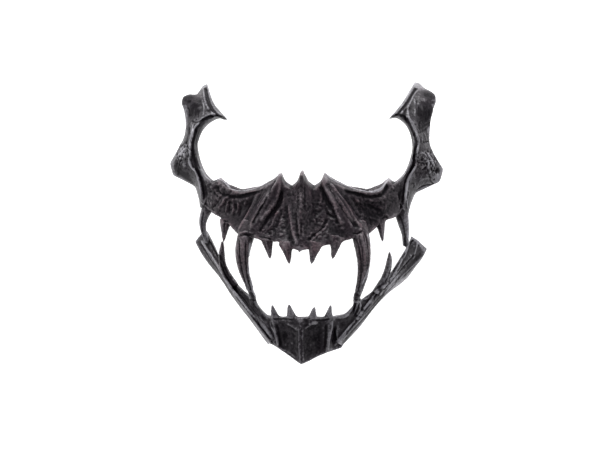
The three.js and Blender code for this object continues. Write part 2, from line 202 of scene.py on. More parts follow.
# The faces' directions are evened out between neighbours, the less the sharper the edge between them, and
# then the points follow the directions.
def faired(points, quads, kept, rounds):
    count = len(quads)
    corner = quads.ravel()
    owner = np.repeat(np.arange(count), 4)
    ends = np.sort(np.stack([quads, np.roll(quads, -1, 1)], 2).reshape(-1, 2), 1)
    order = np.lexsort((ends[:, 1], ends[:, 0]))
    paired = (ends[order][1:] == ends[order][:-1]).all(1)
    first = owner[order][:-1][paired]
    second = owner[order][1:][paired]
    across = points[quads[:, 2]] - points[quads[:, 0]]
    along = points[quads[:, 3]] - points[quads[:, 1]]
    normal = unit(np.cross(across, along))
    for _ in range(rounds):
        gap = ((normal[first] - normal[second]) ** 2).sum(1)
        weight = np.exp(-gap / kept ** 2)[:, None]
        from_second = summed(first, weight * normal[second], count)
        from_first = summed(second, weight * normal[first], count)
        normal = unit(normal + from_second + from_first)
    share = 1.0 / np.maximum(np.bincount(corner, minlength=len(points)), 1)[:, None]
    for _ in range(rounds):
        middle = points[quads].mean(1)
        reach = ((middle[owner] - points[corner]) * normal[owner]).sum(1)[:, None]
        points = points + summed(corner, reach * normal[owner], len(points)) * share
    return points


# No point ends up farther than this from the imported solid.
def held_near(points, tree, limit):
    held = points.copy()
    for row, point in enumerate(points):
        nearest, _, _, gap = tree.find_nearest(point)
        if gap > limit:
            held[row] = np.array(nearest) + (point - np.array(nearest)) * (limit / gap)
    return held


mask = merged_copy(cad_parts["mask"], "mask_casting")
solid_tree = BVHTree.FromObject(mask, bpy.context.evaluated_depsgraph_get())
even = mask.modifiers.new("even", "REMESH")
even.mode = "VOXEL"
even.voxel_size = VOXEL
settle(mask)
quads = np.zeros(len(mask.data.loops), int)
mask.data.loops.foreach_get("vertex_index", quads)
smooth = faired(points_of(mask.data), quads.reshape(-1, 4), EDGE_KEPT, FAIRING_ROUNDS)
move_to(mask.data, held_near(smooth, solid_tree, ROUNDED_OFF))

# The carver's lines. Each is a route over the front of the mask, in millimetres to the right of and above
# the middle of the view, with half the line's width and its rise, which is negative for a groove. The
# routes are laid on the body along the line of sight, so that a line keeps to the face that it is seen on.
# A dab is a round swelling or dent: its place across and above, its radius and its rise.
ROUTE_STEP = 0.5
FADE = 2.5
LEFT_AT_ENDS = 0.15

body_tree = BVHTree.FromObject(mask, bpy.context.evaluated_depsgraph_get())


def curve_through(route):
    route = [Vector(point) for point in route]
    padded = [route[0] * 2 - route[1]] + route + [route[-1] * 2 - route[-2]]
    places = []
    for before, start, end, after in zip(padded, padded[1:], padded[2:], padded[3:]):
        steps = max(2, round((end - start).length / ROUTE_STEP))
        for step in range(steps):
            t = step / steps
            sway = (end - before) * t + (2 * before - 5 * start + 4 * end - after) * t * t
            bend = (3 * start - before - 3 * end + after) * t ** 3
            places.append(start + 0.5 * (sway + bend))
    return places + [route[-1]]


def sighted(places):
    found = []
    depth = VIEW_DISTANCE
    for place in places:
        aim = VIEW_CENTRE + (view_right * place[0] + view_up * place[1]) * MM
        sight = (aim - camera.location).normalized()
        spot, _, _, reach = body_tree.ray_cast(camera.location, sight)
        if spot is None:
            spot = body_tree.find_nearest(camera.location + sight * depth)[0]
        else:
            depth = reach
        found.append(spot)
    return np.array(found)


def near_line(points, path, width):
    low = path.min(0) - width
    high = path.max(0) + width
    near = np.nonzero(((points > low) & (points < high)).all(1))[0]
    start = path[:-1]
    run = path[1:] - start
    away = points[near][:, None] - start
    share = (away * run).sum(2) / np.maximum((run ** 2).sum(1), NEXT_TO_NOTHING)
    share = np.clip(share, 0, 1)
    gap = np.linalg.norm(away - share[:, :, None] * run, axis=2)
    nearest = gap.argmin(1)
    rows = np.arange(len(near))
    return near, gap[rows, nearest], nearest + share[rows, nearest]


def eased(value):
    value = np.clip(value, 0, 1)
    return value * value * (3 - 2 * value)


def along_line(points, route, width):
    path = sighted(curve_through(route))
    run = np.concatenate([[0], np.cumsum(np.linalg.norm(np.diff(path, axis=0), axis=1))]) / MM
    near, gap, at = near_line(points, path, width * MM)
    place = np.interp(at, np.arange(len(run)), run)
    ends = eased(np.minimum(place, run[-1] - place) / FADE + LEFT_AT_ENDS)
    side = np.clip(1 - gap / (width * MM), 0, 1)
    return near, ends * (0.5 * side + 0.5 * eased(side))


def lines_raised(points, lines, spread):
    raised = np.zeros(len(points))
    line_light_and_shade = np.zeros(len(points))
    for route, width, rise in lines:
        near, shape = along_line(points, route, width * spread)
        raised[near] += rise * MM * shape
        # painted highlight on a raised line, painted shade in a groove
        line_light_and_shade[near] += np.sign(rise) * shape ** 2
    return raised, line_light_and_shade


def dabs_raised(points, dabs):
    raised = np.zeros(len(points))
    for across, above, width, rise in dabs:
        spot = sighted([(across, above)])[0]
        gap = np.linalg.norm(points - spot, axis=1)
        raised += rise * MM * eased(1 - gap / (width * MM))
    return raised


# The muzzle: ribs run down from the three spikes to the roots of the great fangs, with deep folds between
# them. A groove undercuts the rim, and the cheeks are lumpy and creased.
muzzle_lines = [
    # left half: ribs
    ([(-17.2, 34.5), (-17.6, 29), (-18, 24), (-19.3, 19.5), (-21.5, 15), (-24.2, 11), (-27.8, 6.5),
      (-30.5, 3)], 1.9, 1.2),
    ([(-30, 25), (-33, 18.5), (-36, 12.5), (-39.5, 6), (-42.5, 1), (-44.5, -3)], 1.8, 0.9),
    ([(-26, 23), (-29.5, 17.5), (-32.5, 12)], 1.4, 0.5),
    ([(-17.5, 10.8), (-19.8, 7.5), (-21.5, 4), (-22.8, 0.5), (-25.5, -3)], 1.2, 0.9),
    ([(-11.2, 15), (-10.4, 8), (-9.4, 2), (-8.2, -4), (-6.6, -10), (-5.8, -13)], 1.7, 1.0),
    # left half: folds
    ([(-20.2, 31), (-23, 26.5), (-24.8, 22), (-27, 17.5), (-29, 13.5), (-31.5, 9.5), (-34, 5.5),
      (-36, 1)], 1.6, -1.2),
    ([(-15.8, 24), (-17, 17), (-19, 12.5), (-22.5, 8.5), (-26, 4), (-29, 0), (-31.5, -4)], 1.5, -1.1),
    ([(-15.6, 11.5), (-17.5, 6), (-19.5, 1), (-22, -3.5)], 1.2, -0.9),
    ([(-13, 14), (-13.8, 6), (-12.8, -1), (-10.6, -7), (-8.2, -12.5)], 2.0, -0.9),
    ([(-7, 10), (-6.7, 3), (-5.7, -3), (-4.6, -9)], 1.2, -0.7),
    ([(-35.5, 17), (-38, 11), (-41.5, 5.5)], 1.2, -0.6),
    # left half: the groove under the rim
    ([(-60, 27.5), (-57.5, 23), (-55, 21), (-50, 19.7), (-45, 19.3), (-40.5, 20.1), (-36.5, 21.6),
      (-32, 23), (-28, 24.6)], 1.4, -1.1),
    # left half: creases over the cheek
    ([(-50, 20), (-53.3, 18.3), (-55, 15), (-58.3, 11.5)], 1.2, 0.9),
    ([(-51, 17.5), (-52.2, 13), (-53, 8.5)], 0.9, 0.6),
    ([(-48.3, 16), (-48, 12), (-48.5, 7)], 0.9, 0.7),
    ([(-45, 17), (-44.5, 12), (-46, 8)], 0.9, 0.6),
    ([(-49.7, 17), (-50.4, 12.5), (-50.4, 8)], 0.8, -0.4),
    ([(-46.6, 16), (-46.0, 13), (-46.8, 9)], 0.7, -0.35),
    ([(-42.5, 14), (-43, 10), (-44.5, 6)], 0.8, -0.4),
    ([(-57, 18), (-59.8, 14), (-62.5, 11.8)], 1.0, -0.7),
    ([(-64.5, 23), (-61, 22.6), (-57.5, 18.5)], 0.8, -0.6),
    ([(-58.6, 26.8), (-57.3, 24)], 0.9, -1.0),
    # left half: the gum, and the collar of the great fang
    ([(-69.5, 16.5), (-66, 13.5), (-62.5, 10.8), (-58, 8.3)], 0.8, 0.6),
    ([(-44.5, -6.3), (-41, -5.6), (-37.5, -6.2), (-34, -7)], 0.8, -0.7),
    ([(-44.3, -4.4), (-39, -3.8), (-34, -4.8)], 0.8, 0.5),
    ([(-42, -4.9), (-38, -4.9), (-33.5, -5.8)], 0.6, -0.5),
    ([(-31, -6.6), (-27, -7.3), (-22.5, -8.8)], 0.8, -0.7),
    ([(-56, 5), (-53.5, 3.5), (-50.5, 3)], 0.9, -0.6),
    ([(-55, -1), (-53.5, 1.5), (-51.5, 1)], 0.7, -0.5),
    # middle: the spike's narrow face, the strip under it, and the streaks at its foot
    ([(-3.1, 36.5), (-3.1, 31), (-3.2, 26)], 2.2, 1.0),
    ([(-5.6, 26), (-5.5, 18), (-5.7, 12)], 1.0, -0.6),
    ([(-0.7, 27), (-0.6, 18), (-0.4, 10)], 1.0, -0.6),
    ([(-4.3, 2.5), (-4.4, -2), (-4.3, -6.5)], 0.8, 0.6),
    ([(-2, 1.5), (-2, -3), (-1.8, -7.5)], 0.8, 0.6),
    ([(-3.2, 5), (-3.2, -1), (-3.1, -7)], 0.7, -0.6),
    ([(2, 25), (3, 19), (3.5, 12)], 1.4, 0.4),
    # right half: ribs
    ([(11.3, 32), (11.8, 28.5), (13.2, 25), (15.5, 21), (17.5, 17.5), (19.3, 13.5), (20.6, 9),
      (22.5, 4.5), (24.5, 0.5)], 2.0, 1.2),
    ([(16, 28.5), (19, 24), (22.5, 19.5), (25.5, 15.5), (28.3, 11), (30.5, 7), (33.5, 3),
      (37, -0.5)], 1.3, 1.2),
    ([(31.6, 19.3), (33.2, 17.5), (34.8, 15)], 1.7, 1.0),
    ([(10.6, 26), (10, 20), (9.6, 14)], 1.2, 0.5),
    # right half: folds
    ([(14.5, 29), (16.5, 24.5), (19.5, 20), (22.3, 15.5), (25, 11), (28, 6.5), (31, 2.5),
      (33, -1)], 1.9, -1.3),
    ([(24.5, 21), (28, 16.5), (31, 12.5), (33.5, 8.5), (36.5, 4.5)], 1.8, -0.8),
    ([(10, 27), (11.2, 22), (13.5, 17), (16, 13), (18, 9.5), (20, 5), (21.5, 1)], 1.6, -0.9),
    ([(13, 10), (16, 7.5), (19.5, 5)], 0.9, -0.7),
    ([(13.5, 12.3), (16, 10), (18, 8)], 0.8, 0.5),
    ([(13.8, 6), (12.8, 2.5), (10.3, -1.5), (6, -5), (0.5, -9.7)], 1.2, -1.1),
    ([(14.5, 3), (12.5, -1), (8, -4.8), (3.5, -9)], 1.0, 0.5),
    # right half: the groove under the rim
    ([(25, 24), (30, 22.3), (36, 20.8), (41, 19.8), (46, 19.8), (50, 20.8), (52.5, 24),
      (54, 28)], 1.5, -1.2),
    # right half: creases over the cheek
    ([(41, 17.3), (45, 16.6), (49, 16.8)], 0.9, 0.6),
    ([(40, 15), (43, 13), (46, 11)], 1.1, -0.7),
    ([(50, 6), (52, 8), (55, 6.5)], 0.7, 0.6),
    ([(49, 4.5), (52, 6.2), (55, 5)], 0.6, -0.5),
    ([(42, 5), (42.8, 2), (44, -0.5)], 0.8, -0.7),
    ([(47, 14), (50, 12), (54, 12.5)], 1.0, 0.5),
    ([(61, 9), (63.5, 12), (65.5, 10)], 0.9, 0.7),
    ([(30.5, -4.2), (33.5, -4.8), (37, -3)], 0.8, -0.8),
]
muzzle_dabs = [
    (-52, 19.3, 2.2, 0.8), (-47.5, 10, 2.4, 0.8), (-43, 17, 1.8, 0.7), (-40, 15, 1.6, 0.7),
    (-38.5, 18.5, 1.8, 0.7), (-56.5, 20.5, 1.7, 0.7), (-61.8, 19.5, 2.4, 0.7), (-62, 15.3, 2.0, 0.7),
    (-62, 26, 2.3, 0.8), (-51.5, 14, 1.3, 0.6), (-20.5, -1.5, 1.5, 0.8), (-16.5, -5.5, 1.9, 0.9),
    (-15, 6, 2.4, -0.7), (-15.5, -1, 2.0, -0.7), (-24, -4.5, 1.6, -0.6), (-3, 17, 1.5, 0.6),
    (-2.2, 13.5, 1.4, 0.6), (-4.6, 14.5, 0.9, -0.6), (-1.6, 15.6, 0.9, -0.6), (5.5, 3.5, 2.0, 0.8),
    (1.5, 3.5, 1.4, 0.6), (9, -7, 2.2, 0.7), (14.5, -5, 2.3, 0.7), (20.5, -6.5, 2.0, 0.7),
    (22.5, 5, 1.4, 0.7), (24, -1, 2.0, 0.7), (7, 9, 3.2, -0.6), (14, -11, 1.3, -0.8),
    (43, 12, 1.5, -0.6), (46, 11, 1.4, -0.7), (38, 8, 3.5, 0.7), (57.3, 25.3, 1.5, 0.8),
    (58, 23.5, 0.9, -0.6), (48, 4, 2.0, 0.6), (-11, -8, 2.0, -0.5), (3, -7, 1.8, 0.5),
    (-33, 8, 2.4, -0.6), (27, 21, 2.0, -0.5), (52, 17, 1.8, -0.5), (36, -2, 1.6, 0.6),
]

# The cheekbones and temples: bony straps that curl round the eyes. A crisp crest parts the broad outer face
# from the dark channel next to the eye's rim. The side knobs are pitted like old bone, the temple heads
# are striped lengthwise, and their lower edges overhang the neck.
cheekbone_lines = [
    # left: the crest with the channel inside it
    ([(-76.6, 58), (-76.8, 53), (-76.6, 48), (-77, 44), (-76.5, 41), (-75, 38.5), (-73, 36.5),
      (-71.5, 33), (-70.3, 29), (-69.4, 25), (-69, 21), (-69.2, 17)], 1.2, 0.7),
    ([(-72.8, 65), (-73, 61), (-74.2, 57), (-75, 53), (-75.2, 48), (-75.6, 43), (-74.4, 39.5),
      (-72.4, 37), (-70.4, 33.5), (-68.9, 29.5), (-68, 25), (-67.6, 21), (-67.4, 17)], 1.3, -1.0),
    ([(-74.3, 68), (-74.6, 64), (-75.6, 60), (-76.6, 57)], 1.0, 0.8),
    ([(-70.3, 68.3), (-72.6, 66.4), (-74.6, 64)], 0.9, 0.6),
    ([(-76.6, 66), (-76.8, 62), (-76.3, 59.5)], 1.2, -0.6),
    # left: the edge between the knob's pitted top and its dark lower facet
    ([(-86.5, 41), (-86.3, 36)], 0.7, -0.3),
    ([(-84, 40.5), (-83.3, 35)], 0.7, -0.3),
    ([(-82.5, 47.6), (-84.3, 45)], 0.8, -0.9),
    ([(-77.2, 49), (-77.7, 45)], 1.3, -0.8),
    ([(-84.5, 49), (-86.5, 46)], 0.8, 0.5),
    # left temple: the face's border, the channel beside it and the crease under the hook
    ([(-67.6, 92), (-67.3, 87), (-66.8, 83), (-65.3, 79), (-63, 75.7), (-60, 73.4)], 1.1, 0.6),
    ([(-65.6, 91), (-65, 87.6), (-63.8, 83.4), (-62.2, 79.7), (-59.8, 76), (-56.7, 72.9)], 1.5, -1.1),
    ([(-66.3, 71.3), (-64, 72.7), (-60, 72.8)], 0.8, -0.8),
    ([(-75.5, 70), (-73, 68.8), (-70, 69.6), (-66.5, 71.6)], 1.0, -0.7),
    ([(-78.6, 80), (-77, 76.5), (-76.6, 72)], 1.0, -0.6),
    ([(-71.2, 76), (-70.8, 71)], 0.8, -0.4),
    ([(-73.5, 78), (-73.6, 72)], 0.8, 0.4),
    ([(-68.5, 84), (-67.5, 78), (-67.8, 73)], 1.0, 0.4),
    # right: the crest with the channel inside it
    ([(73.8, 60), (74.6, 56), (73.6, 50), (73, 45), (72.4, 40), (70.6, 37), (68.5, 33.5), (67.1, 30),
      (66.3, 26), (65.8, 22), (65.3, 18), (64.9, 15)], 1.2, 0.6),
    ([(72.6, 58), (72.9, 54), (72, 50), (71.7, 46), (71.6, 42), (70, 38), (67.4, 34), (65.8, 30),
      (64.9, 26), (64.3, 22), (63.8, 18), (63.4, 14)], 1.3, -1.0),
    ([(67.6, 25), (67.6, 21), (66.9, 17), (66.6, 13.5), (67.6, 11.3)], 0.9, 0.6),
    ([(68.9, 27.5), (70.6, 28.6), (71.4, 26.8), (70.3, 25.2)], 0.7, -0.5),
    ([(84.5, 27.7), (80, 27.4), (76.5, 26.5), (72.5, 23.5)], 0.9, -0.5),
    ([(81, 34), (81.8, 32.6), (82.8, 31.6)], 1.0, -0.9),
    ([(74.7, 48.8), (77.4, 48.2), (79.6, 46.2)], 1.2, 0.6),
    ([(80.9, 43.0), (80.3, 39.6), (81.4, 36.6)], 1.3, 0.7),
    ([(83.4, 50.7), (85.8, 46.4), (88.3, 42.7), (90.2, 40.2)], 1.2, 0.7),
    ([(82.1, 47.6), (84.6, 43.3), (85.2, 39.6)], 0.9, -0.8),
    ([(83.8, 40.0), (83.4, 37.2), (84.6, 34.8)], 0.9, 0.5),
    # right temple: the face's border down to the neck, the channel beside it and the overhanging lower edge
    ([(73.6, 90), (71, 86.5), (69.2, 82.5), (67.6, 79), (67.2, 75.5), (68.2, 71.5), (69.7, 68),
      (71.2, 64.5), (72.7, 61.5), (74, 58.5)], 1.1, 0.5),
    ([(73, 91.5), (70.4, 87.8), (67.8, 84), (65.5, 80.5), (63, 77.4), (60.5, 74.6),
      (57, 72.2)], 1.6, -0.8),
    ([(65.8, 78), (65.2, 75), (65.7, 71.3), (67.2, 68), (69, 64.8), (70.6, 61.5), (72.3, 58)], 1.1, -0.7),
    ([(84.6, 79), (83.4, 75.5), (81.3, 71.6), (78.6, 67.8), (76, 65.6), (73.8, 65)], 2.0, 0.3),
    ([(85.2, 76.2), (83.8, 72), (81.8, 68), (79, 64.3), (75.6, 62.3), (73.4, 62)], 1.3, -0.4),
    ([(71.5, 85), (71.9, 80)], 0.9, 0.4),
    ([(73.2, 84.5), (73.3, 80)], 0.7, -0.4),
    ([(72.2, 79), (71.6, 72)], 0.9, 0.4),
    ([(74.6, 80), (74.2, 72)], 0.9, -0.4),
    ([(78.6, 76), (78.4, 69.5)], 0.7, -0.6),
    ([(80.8, 77), (80.6, 72)], 0.7, -0.5),
    ([(76.5, 80), (76.4, 72)], 0.8, 0.4),
    ([(76.4, 60), (76.6, 55)], 0.8, 0.6),
    ([(78, 62), (79.4, 56)], 0.8, 0.5),
    ([(81.6, 58.5), (81.3, 52.5)], 0.9, -0.6),
    ([(75, 60), (75.6, 55)], 0.6, -0.5),
]
cheekbone_dabs = [
    (-81.6, 50.7, 1.2, -1.0), (-78.3, 52.5, 1.1, -1.0), (-82.9, 46.4, 0.9, -0.8), (-79.8, 47, 0.9, -0.8),
    (-81, 54.4, 0.9, -0.7), (-78.9, 49.4, 0.9, -0.7), (-85.1, 47.6, 1.1, -0.8), (-83.4, 52.8, 1.3, -0.6),
    (-78.6, 55.5, 1.1, -0.6), (-76, 55.4, 0.9, -0.8), (-80, 46, 2.0, 0.6), (-80, 41, 3.0, 0.5),
    (-81.5, 53, 1.0, 0.5), (-76.8, 82.3, 2.0, -0.5), (-72.5, 70.4, 1.2, -0.6), (-75.8, 73.4, 1.2, -0.6),
    (-70, 78, 3.0, 0.5), (-69.8, 82.5, 1.4, -0.4), (-72, 27, 1.3, -0.5), (-71.4, 31, 1.4, 0.5),
    (86.8, 37, 2.6, -1.7), (84.6, 31, 1.0, -0.8), (78.5, 43.3, 1.3, -0.8), (82, 46.8, 1.3, -0.8),
    (85.2, 45.6, 1.0, -0.8), (83.6, 41.6, 1.1, -0.7), (74.4, 49, 0.9, -0.7), (77, 37.5, 0.9, -0.7),
    (72.6, 35, 1.0, -0.7), (75.6, 35, 1.1, -0.6), (76.2, 40.3, 0.9, -0.6), (80.2, 43.5, 1.2, 0.6),
    (81.5, 36, 1.4, 0.6), (76, 31, 3.0, 0.4), (80.5, 49.5, 1.0, -0.6), (75.8, 45.8, 0.8, -0.5),
    (76, 73, 1.0, -0.5), (72.2, 67.3, 1.1, -0.6), (83.8, 82, 1.4, -0.4), (78, 83, 2.6, 0.4),
    (-54.4, 71, 2.8, 0.9), (49.2, -41.3, 2.6, -0.7),
]

# The fangs: the great fangs are fluted lengthwise, the rear ones have one groove, and the canines of the
# lower jaw have a ridge.
fang_lines = [
    # left great fang
    ([(-44, -8), (-43.9, -15), (-43.5, -22), (-42.2, -30), (-40, -37)], 0.8, -0.7),
    ([(-41.6, -12), (-41.6, -20), (-41, -28), (-39.4, -36), (-37.8, -41)], 0.9, 0.5),
    ([(-39.8, -10), (-39.9, -20), (-39.2, -29), (-37.8, -37), (-36, -43)], 0.8, -0.7),
    ([(-37.6, -15), (-37.6, -24), (-36.8, -33), (-35, -41)], 0.8, 0.4),
    # right great fang
    ([(33.2, -8), (35, -15), (36.1, -22), (36.3, -30), (35.4, -38), (34, -43)], 0.8, -0.7),
    ([(36.3, -5), (38.2, -12), (38.9, -20), (38.6, -28), (37.2, -36)], 0.9, 0.5),
    ([(38.6, -4), (40.4, -10), (41.1, -18), (40.8, -26), (39.4, -34), (37.2, -40)], 0.7, -0.7),
    ([(35, -7), (36.8, -14), (37.5, -22), (37.2, -31)], 0.6, -0.4),
    # rear fangs
    ([(-67.5, 10), (-68.7, 3), (-68.4, -3), (-67, -8)], 0.8, -0.6),
    ([(61.5, 8), (64, 1), (65.3, -7), (65.2, -14)], 0.8, -0.6),
    # cheek teeth and incisors
    ([(-53.5, 5), (-53.8, 0), (-54, -5)], 0.8, -0.5),
    ([(49.3, 1), (50, -3), (50.4, -7)], 0.8, 0.5),
    ([(-26.8, -9), (-25.6, -13), (-24.2, -18)], 0.8, 0.5),
    ([(-13, -14), (-12.4, -18), (-11.6, -22)], 0.8, 0.5),
    ([(4.5, -16), (4, -20), (3.4, -23.5)], 0.8, 0.5),
    ([(19, -10), (18.6, -14.5), (18.2, -19)], 0.8, 0.5),
    # canines
    ([(-54.6, -13), (-54.4, -20), (-52.8, -27), (-50, -33)], 0.9, 0.6),
    ([(-56.4, -18), (-55.8, -25), (-53.5, -32), (-50, -37)], 0.9, -0.6),
    ([(55.4, -20), (54.8, -27), (52.6, -34)], 0.8, 0.6),
    ([(57.3, -27.5), (55.8, -32), (53.4, -37)], 0.8, 0.7),
    ([(56.4, -27), (54.6, -32.5), (51.8, -37.5)], 0.7, -0.8),
]

# The lower jaw: a light crest runs along each side plate from the chin to the square rear end. The chin has
# a double keel with two arms, and a rib on either side.
jaw_lines = [
    # left plate
    ([(-67.5, -8.5), (-65, -14), (-61.5, -20), (-58, -25.5), (-55.3, -31), (-52, -36.5), (-47.5, -43),
      (-42.5, -49.5), (-37.5, -56), (-32.5, -62), (-27.5, -68), (-23, -73.5), (-19.5, -78.5)], 1.3, 0.9),
    ([(-64.6, -6), (-62, -12.5), (-58.6, -19.5), (-56, -26), (-53.4, -32), (-49.8, -37.5), (-45.5, -42.8),
      (-40.6, -49), (-36, -55), (-31, -61), (-26, -66.5), (-21.8, -72.5), (-19, -77)], 1.2, -1.0),
    ([(-69.6, -11), (-64.7, -19), (-59.4, -26.8), (-54.2, -34.2), (-49.2, -41.4), (-43.8, -49),
      (-38.6, -56), (-33, -62.7), (-27.6, -69), (-23.6, -74.5)], 0.9, -0.7),
    ([(-66, -13), (-63.4, -18.5), (-60, -23.5)], 0.6, -0.4),
    ([(-49, -34.5), (-45, -39), (-41.3, -43.6)], 0.9, 0.6),
    ([(-37, -44), (-35.6, -46.5), (-33.4, -46.5)], 1.1, 0.7),
    ([(-37.5, -48.5), (-35, -48.6), (-33, -49)], 0.8, -0.8),
    ([(-38, -50), (-34.5, -55.5), (-30.5, -60)], 0.7, -0.5),
    ([(-36, -49.5), (-32.5, -55), (-29, -59)], 0.7, 0.4),
    # right plate
    ([(68, -10), (66.6, -14.5), (65, -19), (62.4, -23), (60.4, -27.5), (57.8, -31.5), (54.6, -36),
      (51, -39.8), (47, -42.4), (43.4, -47), (40, -52), (35, -58), (30, -64.5), (25, -71),
      (18, -79)], 1.3, 0.9),
    ([(76, -20.5), (70.5, -25.6), (64.5, -31.5), (58, -37.6), (51.6, -44), (46.5, -49.5), (41, -56),
      (35, -62.5), (29, -69), (24, -75)], 1.2, 0.5),
    ([(72, -18), (66.5, -24.5), (61.5, -30.5), (56, -37), (50.4, -42.6), (45.6, -47.5), (41.5, -53),
      (36.4, -59.4), (31, -66), (26, -72)], 1.2, -1.0),
    ([(37.5, -48.6), (40.5, -47), (42.2, -45)], 0.9, 0.6),
    ([(39.5, -50.5), (42.6, -47.4), (45.6, -43.6), (49.6, -40.8)], 0.8, -0.8),
    ([(33, -50), (31.3, -55), (28.8, -58.5)], 0.7, -0.7),
    ([(35.4, -50), (34, -55), (31.6, -59.5)], 0.7, -0.7),
    ([(37.6, -51), (36.4, -55)], 0.7, -0.6),
    ([(34.2, -50), (32.6, -55), (30.2, -59.5)], 0.7, 0.6),
    ([(36.6, -50.5), (35.2, -55), (33, -59)], 0.7, 0.6),
    ([(31.6, -47.5), (33, -46), (35, -46.6)], 1.0, 0.7),
    ([(31.8, -49), (34, -48.4), (36.2, -48.8)], 0.7, -0.8),
    ([(73.5, -10), (72, -16), (70.5, -22)], 1.3, 0.6),
    ([(68.4, -12.5), (69.6, -10), (71.2, -8.6)], 0.9, -0.9),
    # chin
    ([(-3.5, -66), (-3.4, -75), (-3.2, -83), (-2.9, -90)], 0.7, -0.9),
    ([(-4.7, -67), (-4.5, -76), (-4.2, -84), (-3.8, -89)], 0.7, 0.7),
    ([(-2.2, -67), (-2.2, -76), (-2.1, -84), (-2, -89)], 0.6, 0.45),
    ([(-4.6, -69), (-8, -66), (-13, -63.3)], 1.8, 0.9),
    ([(-1.8, -68), (1.5, -65.4), (5, -63.6), (7, -62.8)], 1.2, 0.7),
    ([(-23.6, -62), (-22.3, -66), (-20.4, -70), (-19, -75), (-18.4, -79)], 1.1, 1.0),
    ([(-19.6, -64), (-18, -70), (-16.9, -76), (-16.2, -80)], 1.6, -0.9),
    ([(-24.6, -66), (-22.6, -71), (-20.6, -76)], 0.9, -0.7),
    ([(17, -62), (16.8, -66), (15.8, -71), (15, -75), (14.3, -79), (13.8, -82)], 1.8, 1.0),
    ([(13.2, -64), (13, -70), (12.6, -76), (12, -81)], 1.4, -0.8),
    ([(19.8, -65), (18.6, -71), (17.4, -77)], 1.1, -0.8),
    ([(-22, -61.3), (-15, -61.2), (-8, -61.6)], 0.9, -0.7),
    ([(3, -61.6), (10, -62), (16, -61)], 0.9, -0.7),
    ([(20, -60.5), (25, -60), (29, -57.5)], 0.9, 0.5),
    ([(-18.5, -80), (-12, -82.5), (-6, -87)], 0.9, 0.5),
    ([(-23.8, -53), (-22.6, -57), (-21.5, -60)], 0.8, 0.5),
    ([(-11.6, -51.5), (-11, -55), (-10.6, -59)], 0.8, 0.5),
    ([(4.8, -54.5), (4, -58)], 0.8, 0.5),
    ([(16.6, -53.5), (16, -58)], 0.8, 0.5),
]
jaw_dabs = [
    (-14, -72, 4.0, -0.6), (6, -74, 4.5, -0.6), (-9, -77, 1.6, 0.4), (7, -75, 1.5, 0.4),
    (3, -78.5, 1.4, 0.4), (8, -83, 1.4, 0.4), (-13, -78, 1.5, 0.4), (24, -65, 3.0, -0.6),
    (74.5, -13, 1.2, -0.5), (71, -13, 1.6, 0.5), (69, -20, 1.5, 0.4), (65, -27, 1.6, -0.4),
    (-3.4, -62.6, 1.5, 0.6), (-28, -60.5, 2.0, -0.5),
]

# Each table comes with how far its lines spread and how much painted light and shade they get: a raised line
# is painted lighter as if lit, a groove darker as if shaded. The lines and this painted light fade out where
# the body turns away from the front.
FRONT_START = 0.4
FRONT_SLOPE = 2.5
carved = [
    (muzzle_lines, muzzle_dabs, 1.3, 0.1),
    (cheekbone_lines, cheekbone_dabs, 1.0, 0.3),
    (fang_lines, [], 1.0, 0.1),
    (jaw_lines, jaw_dabs, 1.0, 0.25),
]
body = points_of(mask.data)
normals = normals_of(mask.data)
rise = np.zeros(len(body))
tone = np.zeros(len(body))
for lines, dabs, spread, share in carved:
    raised, line_light_and_shade = lines_raised(body, lines, spread)
    rise += raised + dabs_raised(body, dabs)
    tone += share * line_light_and_shade
facing = eased(normals @ np.array(to_camera) * FRONT_SLOPE + FRONT_START)
move_to(mask.data, body + normals * (rise * facing)[:, None])
